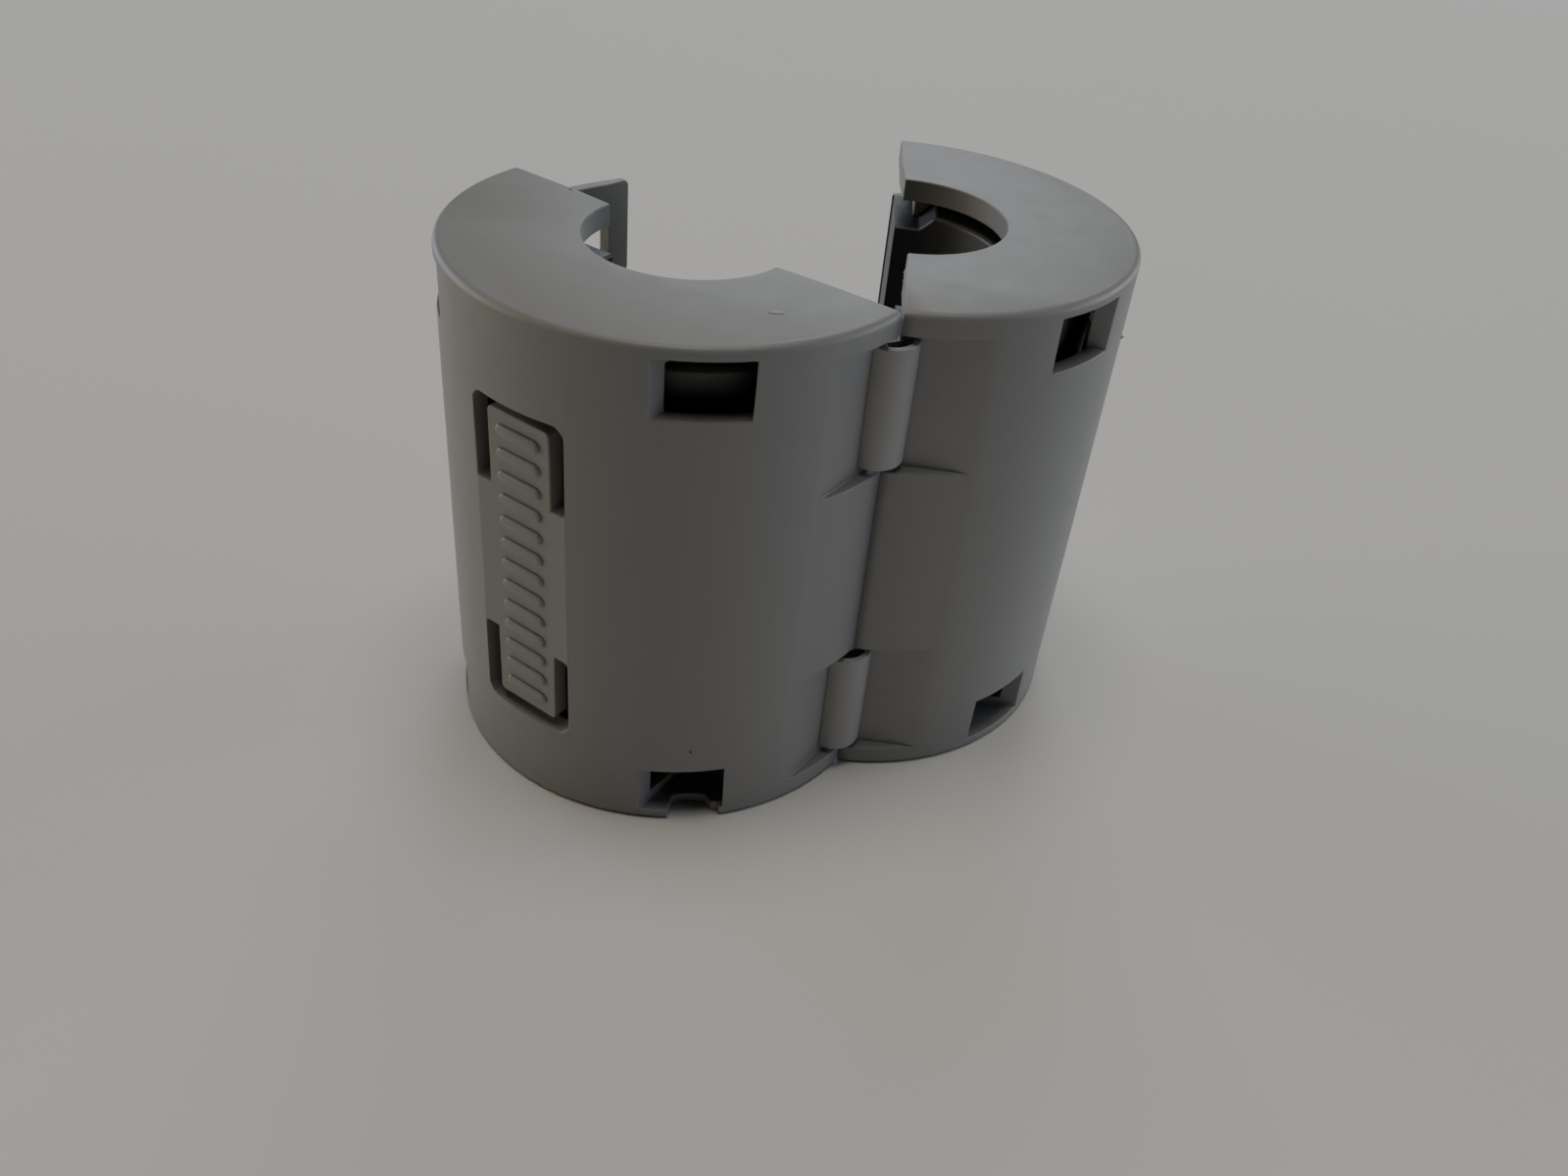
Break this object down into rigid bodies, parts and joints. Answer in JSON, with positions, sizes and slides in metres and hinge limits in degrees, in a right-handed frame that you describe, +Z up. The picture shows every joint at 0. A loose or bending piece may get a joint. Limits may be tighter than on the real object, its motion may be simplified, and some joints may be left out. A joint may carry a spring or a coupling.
{
  "type": "clip-on ferrite bead",
  "caption": "Cylindrical clip-on plastic case, hinged open along one side, with ferrite half rings inside that close around a cable.",
  "frame": {"origin": "centre of the cable bore of the fixed case half, at its lower end face", "axes": "+Z up along the cable bore, +Y from the hinge towards the latch of the fixed half, +X from the fixed half towards the split"},
  "size_m": [0.0433, 0.0373, 0.0345],
  "materials": {
    "case_plastic": "grey moulded nylon, satin",
    "ferrite": "black sintered ferrite, semi-gloss"
  },
  "bodies": {
    "half_a": {"case_half_a": "case_plastic", "ferrite_core_a": "ferrite", "hinge_strap_upper": "case_plastic", "hinge_strap_lower": "case_plastic"},
    "half_b": {"case_half_b": "case_plastic", "ferrite_core_b": "ferrite"}
  },
  "joints": [
    {"name": "case_hinge", "type": "hinge", "parent": "half_a", "child": "half_b", "pos_m": [0.0004, -0.015, 0.01725], "axis": [0, 0, -1], "range_deg": [-57.5, 107.5], "deforming": ["hinge_strap_upper", "hinge_strap_lower"]}
  ]
}
